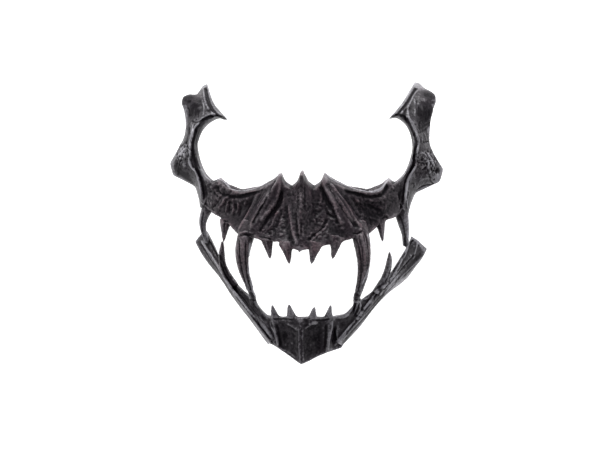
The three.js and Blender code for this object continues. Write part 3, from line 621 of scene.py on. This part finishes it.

# The painter's brush, which also paints in light and shade: a dry pale brush along the rims and crests, laid
# on more strongly where they catch the light as a painted highlight, and a dark wash down the channels,
# under the rims and overhangs and on faces turned from the light as painted shade. Each stroke is a route,
# half its width and its strength, which is negative for the wash and painted shade. A dab is a place, its
# radius and its strength.
STROKE_CORE = 1.6
DAB_CORE = 1.3
TONE_LIMIT = 2
brush_and_light_strokes = [
    # the muzzle's upper rim, from the left eye over the three spikes to the right one
    ([(-67.1, 33.8), (-62.2, 30.4), (-57.4, 31.4), (-53.5, 29), (-49.6, 25.1), (-43.8, 23.6),
      (-36.1, 24.6), (-28.4, 27.5), (-21.6, 31.9), (-17.2, 35.2)], 1.5, 1.0),
    ([(-15.8, 34.8), (-12.9, 29), (-9, 28.5), (-5.6, 30.9), (-3.4, 36.4)], 1.0, 0.9),
    ([(-2.4, 36), (0.7, 30.9), (4.6, 26.5), (8.4, 28.5), (11.4, 34.8)], 1.0, 0.9),
    ([(13.3, 34.8), (17.2, 31.4), (23, 28.5), (30.7, 25.6), (37.5, 23.6), (44.2, 23.2), (49.1, 24.6),
      (52.9, 29.4), (55.8, 32.9), (58.7, 31.4), (62.6, 33.3), (66.5, 38.7)], 1.5, 1.0),
    ([(-3.1, 33.5), (-3.1, 28), (-3.2, 22)], 1.7, -1.1),
    # under the rim: painted shade
    ([(-56, 25), (-51, 20.6), (-44, 19.8), (-37, 21), (-30, 23.6)], 1.8, -0.7),
    ([(25, 25.2), (32, 22.4), (40, 19.9), (47, 19.9), (51, 23), (54, 28)], 1.8, -0.7),
    # left eye's rim and the channel beside it
    ([(-63.5, 70.4), (-66.6, 66.7), (-68.7, 63), (-70, 59.3), (-70.9, 55), (-71.1, 50.7), (-70.6, 46.4),
      (-69.6, 42), (-68.1, 38.3), (-66.3, 35.3), (-63.5, 32.5)], 0.9, 0.5),
    ([(-62, 70.3), (-65.8, 68.6), (-69, 65.6), (-70.8, 62), (-72.1, 58.5), (-72.7, 54.5), (-72.6, 50),
      (-72.1, 45.5), (-71, 41), (-69.6, 37.6)], 1.7, -0.8),
    ([(-60.4, 72.9), (-65.3, 71), (-69, 67.9), (-71.5, 64.2), (-72.7, 60.5), (-73.7, 56.8),
      (-74.1, 53.1), (-74.2, 48.8), (-74, 44.6), (-73, 40.9), (-71.7, 37.2), (-69.9, 33.5),
      (-68, 29.8), (-67.1, 25), (-66.6, 19)], 2.2, -0.65),
    # left crest, down to the gum
    ([(-73.5, 65), (-75.5, 60), (-76.8, 55), (-76.8, 49), (-77.4, 44), (-76, 40), (-73, 36),
      (-71.2, 31), (-70, 25), (-69.8, 19)], 1.0, 0.6),
    # left neck: streaks down from the head
    ([(-79.2, 67), (-80, 61), (-82, 55.5)], 0.9, 0.8),
    ([(-77, 66), (-77.8, 60), (-79.4, 54)], 1.6, -1.5),
    ([(-75.6, 69), (-76.2, 63), (-76, 57)], 0.7, 0.6),
    # left temple: hook's rim and tip, and the channel inside it
    ([(-65, 93.8), (-62.8, 89.5), (-61.3, 85.2), (-59.1, 81.5), (-56.7, 77.8)], 1.8, 1.9),
    ([(-66.4, 92), (-65.6, 87.6), (-64.5, 83.4), (-62.9, 79.7), (-60.4, 76), (-57, 72.9),
      (-53, 70.7)], 2.0, -1.5),
    ([(-68.6, 91), (-69, 86), (-68, 81), (-66, 77), (-64, 74.5)], 1.6, 0.35),
    # left neck's outer edge
    ([(-78.6, 70.4), (-78.9, 63), (-80.7, 56.8), (-83.8, 51.3), (-86.9, 47.6), (-89.4, 43.9)], 1.4, 0.6),
    # right hook's rim, and the channel inside it
    ([(55, 71.9), (61.2, 79), (67.3, 87), (70.4, 93.2), (72.9, 95.4)], 1.2, 1.1),
    ([(56.8, 71.6), (63, 77.2), (68.6, 85.2), (72.3, 92)], 1.2, -1.0),
    # right eye's channel
    ([(61.5, 71.5), (65, 69.5), (67.5, 66), (69, 62), (70, 57), (70.8, 50), (70.8, 44)], 1.5, -0.7),
    ([(59.3, 71.7), (63, 71), (66.1, 68.6), (68.6, 64.2), (70.1, 59.3), (71, 54.4), (71.9, 50.7),
      (72.3, 45.7), (71.2, 40.9), (67.9, 36.8), (64.5, 31.5), (62.6, 25), (62, 17)], 2.0, -0.6),
    # right crest, down to the gum
    ([(76, 61), (73.6, 55), (73.6, 47), (72.4, 40)], 0.9, 0.25),
    ([(72.4, 40), (69.8, 35.9), (67.9, 32.2), (66.4, 27.3), (65.8, 22.4), (66.4, 17.4),
      (67.3, 13.7)], 1.3, 0.9),
    # right neck below the head, and the knob's outer edge
    ([(81, 66.5), (80.9, 62), (82.1, 56.8)], 2.4, 0.5),
    ([(83.6, 51), (85.8, 46.4), (88.3, 42.7), (90.4, 40.2)], 1.4, 1.0),
    ([(79.8, 45), (80.7, 41.5), (80.3, 38)], 1.2, 0.35),
    ([(85.6, 34), (88.3, 34.1), (89.8, 36.8)], 0.9, 0.5),
    # right temple: painted shadow on the lower edge that overhangs the neck
    ([(84.6, 79), (83.4, 75.5), (81.3, 71.6), (78.6, 67.8), (76, 65.6), (73.8, 65)], 2.4, -0.9),
    # great fangs: the strip that catches the light
    ([(-36.8, -10.3), (-37.6, -17.8), (-37.8, -25.8), (-36.8, -33.7), (-35.2, -40.9),
      (-33.3, -46.4)], 1.3, 1.5),
    ([(-46, -10.7), (-46, -18.6), (-44.8, -26.5), (-42.4, -34.5), (-40, -41.6)], 0.8, 0.4),
    ([(40.3, -4.4), (42.6, -10.8), (43.5, -18.2), (42.6, -24.7), (40.3, -31.2), (37.5, -38.5)], 1.2, 1.4),
    # rear fangs
    ([(67.5, 3), (68.4, -4.4), (67, -10.8), (65.1, -18.2)], 0.8, 0.6),
    ([(-69.8, 7.6), (-70, 2), (-69.8, -4)], 0.8, 0.5),
    # left jaw: its band, painted lighter, and painted shade on the face inside it
    ([(-69.5, -9), (-67.8, -11.5), (-62.3, -19.4), (-56.7, -28.9), (-50.4, -39.3), (-40.8, -51.2),
      (-28.9, -63.9), (-20.2, -75.8)], 1.7, 1.2),
    ([(-64.2, -5.1), (-57, -20.2), (-51.7, -33.7), (-41.6, -44.8), (-34, -53), (-26, -62)], 2.2, -0.8),
    # right jaw: its band, painted shade on the outer face, and the pale lobe at the rear
    ([(18, -77), (25, -70), (30, -65), (35, -59), (38, -56), (43, -48), (48, -42), (54, -38), (57, -33),
      (60, -28), (64, -21)], 1.5, 0.9),
    ([(23.7, -78.1), (32.9, -66.1), (42.1, -56), (49.5, -46.8), (56, -40.3), (62.4, -33)], 2.0, -1.0),
    ([(52.3, -46.8), (58.7, -41.3), (65.1, -34.8), (70.5, -29.5)], 9.0, 0.8),
    ([(66, -27), (71, -22.5), (76, -18)], 1.6, -0.5),
    ([(68, -9), (71, -8), (75, -12), (79, -17)], 1.0, 0.6),
]
brush_and_light_dabs = [
    (77.8, 74.1, 8.0, -0.55), (82, 86, 5.0, -0.7), (86, 82.5, 4.0, -0.8), (80, 88, 7.0, -0.7),
    (80, 80, 6.0, -0.35), (-78, 85, 8.0, -1.2), (-74, 76, 8.0, -1.0), (-72, 82, 7.0, -0.7),
    (45, 9, 13.0, -0.65), (57, 15, 8.0, -0.4), (0, 8, 15.0, -0.3), (-20, -3, 9.0, -0.3),
    (20, -4, 9.0, -0.3), (-62.9, 76.3, 2.6, -1.4), (49.2, -41.3, 3.4, -1.3), (-35.6, -46, 4.0, -0.8),
    (33.5, -46.5, 3.5, -0.7),
    (-12, -18, 6.0, -0.35), (4, -19, 6.0, -0.35), (-24, -13, 6.0, -0.35), (18.5, -14, 6.0, -0.35),
    (-84.5, 38, 7.5, -1.5), (-79, 33, 6.5, -1.2), (-76.6, 41.4, 3.2, 1.0), (-82, 49, 7.0, 0.9),
    (-85.8, 46.4, 3.0, 0.5), (-75.5, 29.5, 4.0, -0.6), (63.4, 74.4, 3.4, -1.6),
    (86.6, 37.4, 2.4, -1.3), (80, 46, 7.0, 0.2), (74, 22, 6.0, 0.2), (-51, -3, 4.0, -0.3),
    (0, -78, 16.0, -0.3), (54.8, -4, 4.0, -0.3), (-54, 71.6, 4.0, -1.6), (55, 71, 1.4, -0.8),
]
# The strokes and dabs add up: pale brush with painted highlight, dark wash with painted shade.
brush_light_and_shade = np.zeros(len(body))
for route, width, strength in brush_and_light_strokes:
    near, shape = along_line(body, route, width)
    brush_light_and_shade[near] += strength * eased(STROKE_CORE * shape)
for across, above, width, strength in brush_and_light_dabs:
    gap = np.linalg.norm(body - sighted([(across, above)])[0], axis=1)
    brush_light_and_shade += strength * eased(DAB_CORE * (1 - gap / (width * MM)))
tone = (tone + brush_light_and_shade) * facing


def keep_on_points(name, values, kind="FLOAT", field="value"):
    kept = mask.data.attributes.new(name, kind, "POINT")
    kept.data.foreach_set(field, values.ravel())


keep_on_points("tone", np.clip(tone, -TONE_LIMIT, TONE_LIMIT))

# The grain left by the carver and the mould: streaks along the fangs, the jaw and the folds, a mottle on
# the muzzle, a bony lattice on the knobs and small pits. How strong each is, and which way the streaks run,
# is painted on first. A patch is a place, in millimetres from the mask's middle, its reach and its strength.
# A way is a place and a direction.
PATCH_CORE = 1.6
WAY_REACH = 4 * MM
grain_spots = {
    "streaked": [(-41, -22, 24, 1.0), (38, -22, 24, 1.0), (-50, -35, 30, 0.9), (50, -38, 30, 0.9),
                 (-70, 76, 15, 0.45), (77, 72, 16, 0.5), (-77, 58, 11, 0.9), (77, 54, 12, 0.9),
                 (-25, 10, 24, 0.6), (25, 10, 24, 0.6), (70, -18, 16, 0.35), (-66, -16, 16, 0.4)],
    "lumpy": [(-52, 14, 20, 1.0), (-15, -4, 20, 0.8), (10, -2, 22, 1.0), (45, 8, 20, 0.9),
              (-3, 14, 10, 1.0), (0, -75, 26, 0.5), (60, 14, 12, 0.6), (33, -48, 8, 1.0),
              (-36, -46, 8, 1.0)],
    "latticed": [(84, 34, 8, 0.9), (78, 37, 8, 0.8), (82, 42, 5, 0.7), (-80, 45, 8, 1.0),
                 (-84, 38, 5, 0.8)],
    "pitted": [(78, 35, 18, 0.9), (-82, 36, 15, 0.9), (-72, 24, 9, 0.7), (0, 5, 60, 0.5),
               (0, -75, 24, 0.3)],
    "brown": [(-40, 10, 34, 1.0), (0, 8, 36, 1.0), (40, 10, 34, 1.0), (-41, -22, 26, 0.9),
              (38, -22, 26, 0.9), (0, -75, 30, 0.2), (-76, 83, 6, 0.8), (80, 84, 10, 0.3), (76, 32, 8, 0.5),
              (-22, -12, 16, 1.0), (-9, -22, 14, 1.0), (14, -14, 18, 1.0)],
}
streak_ways = [
    (-41, -22, (0.06, -1.0)), (38, -22, (0.0, -1.0)), (-50, -35, (0.62, -0.78)), (-25, -68, (0.65, -0.76)),
    (50, -38, (-0.74, -0.67)), (25, -68, (-0.7, -0.71)), (-70, 78, (0.1, -1.0)), (77, 76, (0.0, -1.0)),
    (-76, 58, (-0.1, -1.0)), (77, 57, (0.05, -1.0)), (-27, 12, (-0.5, -0.87)), (25, 12, (0.5, -0.87)),
    (-3, 5, (0.0, -1.0)), (-68, 0, (0.0, -1.0)), (65, 0, (0.1, -1.0)), (70, -18, (-0.74, -0.67)),
    (-66, -16, (0.55, -0.83)), (0, -78, (0.0, -1.0)), (-83, 46, (0.3, -0.95)), (80, 44, (0.2, -1.0)),
]
body = points_of(mask.data)
for name, spots in grain_spots.items():
    amount = np.zeros(len(body))
    for x, y, reach, strength in spots:
        gap = np.hypot(body[:, 0] - x * MM, body[:, 1] - y * MM)
        amount = np.maximum(amount, strength * eased(PATCH_CORE * (1 - gap / (reach * MM))))
    keep_on_points(name, amount)
way = np.zeros((len(body), 3))
for x, y, (across, along) in streak_ways:
    gap = np.hypot(body[:, 0] - x * MM, body[:, 1] - y * MM)
    pull = 1.0 / (gap ** 4 + WAY_REACH ** 4)
    way += pull[:, None] * np.array((across, along, 0.0))
keep_on_points("streak_way", unit(way), "FLOAT_VECTOR", "vector")

resin = bpy.data.materials.new("black_resin")


def wire(tree, kind, **values):
    made = tree.nodes.new(kind)
    for name, value in values.items():
        setattr(made, name, value)
    return made


def feed(tree, target, socket, source):
    entry = target.inputs[socket]
    if isinstance(source, bpy.types.NodeSocket):
        tree.links.new(source, entry)
    else:
        entry.default_value = source


def worked_out(tree, operation, *values):
    made = wire(tree, "ShaderNodeMath", operation=operation)
    for place, value in enumerate(values):
        feed(tree, made, place, value)
    return made.outputs[0]


def worked_vector(tree, operation, first, second=None, scale=None):
    made = wire(tree, "ShaderNodeVectorMath", operation=operation)
    feed(tree, made, 0, first)
    if second is not None:
        feed(tree, made, 1, second)
    if scale is not None:
        feed(tree, made, "Scale", scale)
    return made.outputs["Value" if operation == "DOT_PRODUCT" else "Vector"]


def painted(tree, name, kind="FLOAT"):
    made = wire(tree, "GeometryNodeInputNamedAttribute", data_type=kind)
    made.inputs["Name"].default_value = name
    return made.outputs["Attribute"]


def noise_over(tree, place, scale, detail, roughness=0.5):
    made = wire(tree, "ShaderNodeTexNoise")
    feed(tree, made, "Vector", place)
    feed(tree, made, "Scale", scale)
    feed(tree, made, "Detail", detail)
    feed(tree, made, "Roughness", roughness)
    return made.outputs


def swing(tree, noise, depth):
    middled = worked_out(tree, "SUBTRACT", noise, 0.5)
    return worked_out(tree, "MULTIPLY", middled, depth)


GRAIN_SIZES = {
    "Streak Width": 1.2 * MM,
    "Streak Depth": 1.1 * MM,
    "Lump Width": 2.2 * MM,
    "Lump Depth": 2.3 * MM,
    "Cell Width": 3.1 * MM,
    "Cell Depth": 1.1 * MM,
    "Pit Width": 0.8 * MM,
    "Pit Depth": 0.45 * MM,
    "Pit Count": 90000.0,
}
GRAIN_SEED = 7
STREAK_DRAWN_OUT = 0.88
STREAK_DETAIL = 3.0
LUMP_DETAIL = 4.0
LUMP_ROUGHNESS = 0.62
CELL_BEND_SCALE = 0.7
CELL_BEND = 2.4
CELL_BEND_DETAIL = 2.0
CELL_WALL = 0.05
CELL_FLOOR = 0.34
WALL_RISE = 0.25
FLOOR_RISE = -0.75


def grain_tree():
    tree = bpy.data.node_groups.new("cast_grain", "GeometryNodeTree")
    face = tree.interface
    face.new_socket("Geometry", in_out="INPUT", socket_type="NodeSocketGeometry")
    face.new_socket("Geometry", in_out="OUTPUT", socket_type="NodeSocketGeometry")
    sockets = {}
    for name in GRAIN_SIZES:
        sockets[name] = face.new_socket(name, in_out="INPUT", socket_type="NodeSocketFloat").identifier
    sockets["Seed"] = face.new_socket("Seed", in_out="INPUT", socket_type="NodeSocketInt").identifier
    sockets["Resin"] = face.new_socket("Resin", in_out="INPUT", socket_type="NodeSocketMaterial").identifier
    given = wire(tree, "NodeGroupInput").outputs
    place = wire(tree, "GeometryNodeInputPosition").outputs[0]
    outward = wire(tree, "GeometryNodeInputNormal").outputs[0]

    # streaks: noise drawn out along the painted direction
    run = painted(tree, "streak_way", "FLOAT_VECTOR")
    along = worked_vector(tree, "DOT_PRODUCT", place, run)
    shift = worked_out(tree, "MULTIPLY", along, STREAK_DRAWN_OUT)
    drawn = worked_vector(tree, "SUBTRACT", place, worked_vector(tree, "SCALE", run, scale=shift))
    streak_scale = worked_out(tree, "DIVIDE", 1.0, given["Streak Width"])
    streaks = noise_over(tree, drawn, streak_scale, STREAK_DETAIL)
    streak = swing(tree, streaks["Fac"], given["Streak Depth"])
    streak = worked_out(tree, "MULTIPLY", streak, painted(tree, "streaked"))

    # mottle: uneven noise in several sizes at once
    lump_scale = worked_out(tree, "DIVIDE", 1.0, given["Lump Width"])
    lumps = noise_over(tree, place, lump_scale, LUMP_DETAIL, LUMP_ROUGHNESS)
    lump = swing(tree, lumps["Fac"], given["Lump Depth"])
    lump = worked_out(tree, "MULTIPLY", lump, painted(tree, "lumpy"))

    # lattice: cells with sunk middles and thin walls between them, bent by a little noise
    bend_scale = worked_out(tree, "DIVIDE", CELL_BEND_SCALE, given["Cell Width"])
    bend_size = worked_out(tree, "MULTIPLY", CELL_BEND, given["Cell Width"])
    bent = noise_over(tree, place, bend_scale, CELL_BEND_DETAIL)
    sway = worked_vector(tree, "SCALE", bent["Color"], scale=bend_size)
    cells = wire(tree, "ShaderNodeTexVoronoi", feature="DISTANCE_TO_EDGE")
    feed(tree, cells, "Vector", worked_vector(tree, "ADD", place, sway))
    feed(tree, cells, "Scale", worked_out(tree, "DIVIDE", 1.0, given["Cell Width"]))
    hollow = wire(tree, "ShaderNodeMapRange", interpolation_type="SMOOTHSTEP")
    feed(tree, hollow, "Value", cells.outputs["Distance"])
    feed(tree, hollow, "From Min", CELL_WALL)
    feed(tree, hollow, "From Max", CELL_FLOOR)
    feed(tree, hollow, "To Min", WALL_RISE)
    feed(tree, hollow, "To Max", FLOOR_RISE)
    cell = worked_out(tree, "MULTIPLY", hollow.outputs["Result"], given["Cell Depth"])
    cell = worked_out(tree, "MULTIPLY", cell, painted(tree, "latticed"))

    # pits: points scattered over the pitted places, each with a small bowl round it
    density = worked_out(tree, "MULTIPLY", painted(tree, "pitted"), given["Pit Count"])
    scatter = wire(tree, "GeometryNodeDistributePointsOnFaces", distribute_method="RANDOM")
    feed(tree, scatter, "Mesh", given["Geometry"])
    feed(tree, scatter, "Density", density)
    feed(tree, scatter, "Seed", given["Seed"])
    nearest = wire(tree, "GeometryNodeProximity", target_element="POINTS")
    feed(tree, nearest, 0, scatter.outputs["Points"])
    bowl = wire(tree, "ShaderNodeMapRange", interpolation_type="SMOOTHSTEP")
    feed(tree, bowl, "Value", nearest.outputs["Distance"])
    feed(tree, bowl, "From Min", 0.0)
    feed(tree, bowl, "From Max", given["Pit Width"])
    feed(tree, bowl, "To Min", worked_out(tree, "MULTIPLY", given["Pit Depth"], -1.0))
    feed(tree, bowl, "To Max", 0.0)
    pit = worked_out(tree, "MULTIPLY", bowl.outputs["Result"], painted(tree, "pitted"))

    carved_grain = worked_out(tree, "ADD", streak, lump)
    cast_grain = worked_out(tree, "ADD", cell, pit)
    rise = worked_out(tree, "ADD", carved_grain, cast_grain)
    moved = wire(tree, "GeometryNodeSetPosition")
    feed(tree, moved, "Geometry", given["Geometry"])
    feed(tree, moved, "Offset", worked_vector(tree, "SCALE", outward, scale=rise))
    real = wire(tree, "GeometryNodeRealizeInstances")
    feed(tree, real, 0, moved.outputs[0])
    clad = wire(tree, "GeometryNodeSetMaterial")
    feed(tree, clad, "Geometry", real.outputs[0])
    feed(tree, clad, "Material", given["Resin"])
    feed(tree, wire(tree, "NodeGroupOutput"), 0, clad.outputs[0])
    return tree, sockets


tree, sockets = grain_tree()
grain = mask.modifiers.new("grain", "NODES")
grain.node_group = tree
for name, value in {**GRAIN_SIZES, "Seed": GRAIN_SEED, "Resin": resin}.items():
    grain[sockets[name]] = value
settle(mask)

# The mesh is thinned to what the form needs: flat stretches keep few faces and the relief keeps many. A few
# specks, smaller than a grain of sand, have come loose by then. Only the casting stays, and it keeps inside
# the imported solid's box.
FACE_LIMIT = 196000

thin = mask.modifiers.new("thin", "DECIMATE")
thin.ratio = FACE_LIMIT / (2 * len(mask.data.polygons))
settle(mask)

form = bmesh.new()
form.from_mesh(mask.data)
left = set(form.verts)
parts = []
while left:
    part = []
    reached = [left.pop()]
    while reached:
        corner = reached.pop()
        part.append(corner)
        others = {edge.other_vert(corner) for edge in corner.link_edges} & left
        left -= others
        reached.extend(others)
    parts.append(part)
parts.sort(key=len)
for speck in parts[:-1]:
    bmesh.ops.delete(form, geom=speck, context="VERTS")
form.to_mesh(mask.data)
form.free()

move_to(mask.data, np.clip(points_of(mask.data), *np.array(cad_box)))
mask.data.polygons.foreach_set("use_smooth", [True] * len(mask.data.polygons))

# How far a place stands proud of its surroundings, near by and farther off, is kept with the painted light
# and shade of the lines and strokes as one attribute: the finish is worn and painted lighter where it is
# high, and thick with wash and painted darker, as shade, where it is low.
NEAR_ROUNDS = 3
NEAR_SCALE = 0.16 * MM
NEAR_SHARE = 0.4
FAR_ROUNDS = 22
FAR_SCALE = 0.75 * MM
FAR_SHARE = 0.45

body = points_of(mask.data)
normals = normals_of(mask.data)
ends = np.zeros(len(mask.data.edges) * 2, int)
mask.data.edges.foreach_get("vertices", ends)
ends = ends.reshape(-1, 2)
meeting = np.maximum(np.bincount(ends.ravel(), minlength=len(body)), 1)


def averaged(values):
    total = np.bincount(ends[:, 0], values[ends[:, 1]], len(body))
    total += np.bincount(ends[:, 1], values[ends[:, 0]], len(body))
    return total / meeting


def proud_over(rounds, scale):
    around = body
    for _ in range(rounds):
        around = np.stack([averaged(around[:, k]) for k in range(3)], 1)
    proud = ((body - around) * normals).sum(1) / scale
    return np.clip(0.5 * proud + 0.5 * averaged(proud), -1, 1)


tone = np.zeros(len(body))
mask.data.attributes["tone"].data.foreach_get("value", tone)
worn = NEAR_SHARE * proud_over(NEAR_ROUNDS, NEAR_SCALE) + FAR_SHARE * proud_over(FAR_ROUNDS, FAR_SCALE)
keep_on_points("worn", np.clip(worn + tone, -TONE_LIMIT, TONE_LIMIT))

# The finish: near-black resin with a soft gloss and a faint plum cast. A dark wash lies in the hollows and
# paints in their shade, and what stands proud is brushed dry with grey, or with a dull purple brown on the
# muzzle and the fangs, which also paints in the highlights there.
WASH_AND_SHADE = (0.0060, 0.0046, 0.0066, 1)
RESIN = (0.0185, 0.0152, 0.0198, 1)
RESIN_BROWN = (0.0225, 0.0150, 0.0200, 1)
BRUSHED_GREY_HIGHLIGHT = (0.330, 0.322, 0.350, 1)
BRUSHED_BROWN_HIGHLIGHT = (0.170, 0.118, 0.130, 1)
RESIN_IOR = 1.45

# Each range is from where to where a height, a tone or a mottle counts, and what it turns into there.
BROWN_PATCHES = (0.3, 0.6, 0.6, 1.0)
WASHED_AND_SHADED = (0.1, -0.55, 0.0, 1.0)
BRUSHED_AND_LIT = (0.3, 1.4, 0.0, 1.0)
BRUSHED_PATCHES = (0.35, 0.65, 0.7, 1.0)
STROKES_STAY_GREY = (0.3, 0.9, 1.0, 0.0)
DULLED_TO_RUBBED = (-0.6, 0.8, 0.5, 0.34)
SHINE = (-0.7, 0.3, 0.08, 0.32)

# The mottles' widths in millimetres and their detail
FINE_MOTTLE = (1.3, 4.0)
BROAD_MOTTLE = (8.0, 3.0)
SKIN_MOTTLE = (0.7, 3.0)
FINE_MOTTLE_SHARE = 1.6
SKIN_RELIEF = 0.35
SKIN_DEPTH = 0.12 * MM

resin.use_nodes = True
coat = resin.node_tree
skin = coat.nodes["Principled BSDF"]
skin.inputs["IOR"].default_value = RESIN_IOR
where = wire(coat, "ShaderNodeTexCoord").outputs["Object"]


def layer(name):
    made = wire(coat, "ShaderNodeAttribute", attribute_name=name)
    return made.outputs["Fac"]


def mottle(width, detail):
    return noise_over(coat, where, 1.0 / (width * MM), detail)["Fac"]


def mixed(amount, first, second):
    first_colour, second_colour, mixed_colour = 6, 7, 2
    made = wire(coat, "ShaderNodeMix", data_type="RGBA")
    feed(coat, made, "Factor", amount)
    feed(coat, made, first_colour, first)
    feed(coat, made, second_colour, second)
    return made.outputs[mixed_colour]


def ranged(value, low, high, to_low, to_high):
    made = wire(coat, "ShaderNodeMapRange", clamp=True)
    feed(coat, made, "Value", value)
    feed(coat, made, "From Min", low)
    feed(coat, made, "From Max", high)
    feed(coat, made, "To Min", to_low)
    feed(coat, made, "To Max", to_high)
    return made.outputs["Result"]


broad = mottle(*BROAD_MOTTLE)
height = worked_out(coat, "ADD", layer("worn"), swing(coat, mottle(*FINE_MOTTLE), FINE_MOTTLE_SHARE))
browned = worked_out(coat, "MULTIPLY", layer("brown"), ranged(broad, *BROWN_PATCHES))
ground = mixed(browned, RESIN, RESIN_BROWN)
# the wash darkens the ground in the hollows: painted shade
ground = mixed(ranged(height, *WASHED_AND_SHADED), ground, WASH_AND_SHADE)
# the pale dry brush on what stands proud is also a painted highlight
brown_in_highlight = worked_out(coat, "MULTIPLY", browned, ranged(layer("tone"), *STROKES_STAY_GREY))
brush_and_highlight = mixed(brown_in_highlight, BRUSHED_GREY_HIGHLIGHT, BRUSHED_BROWN_HIGHLIGHT)
brushed_and_lit = worked_out(coat, "MULTIPLY", ranged(height, *BRUSHED_AND_LIT), ranged(broad, *BRUSHED_PATCHES))
feed(coat, skin, "Base Color", mixed(brushed_and_lit, ground, brush_and_highlight))
feed(coat, skin, "Roughness", ranged(height, *DULLED_TO_RUBBED))
feed(coat, skin, "Specular IOR Level", ranged(height, *SHINE))
relief = wire(coat, "ShaderNodeBump")
feed(coat, relief, "Strength", SKIN_RELIEF)
feed(coat, relief, "Distance", SKIN_DEPTH)
feed(coat, relief, "Height", mottle(*SKIN_MOTTLE))
feed(coat, skin, "Normal", relief.outputs["Normal"])

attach(mask, "root")
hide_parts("mask")
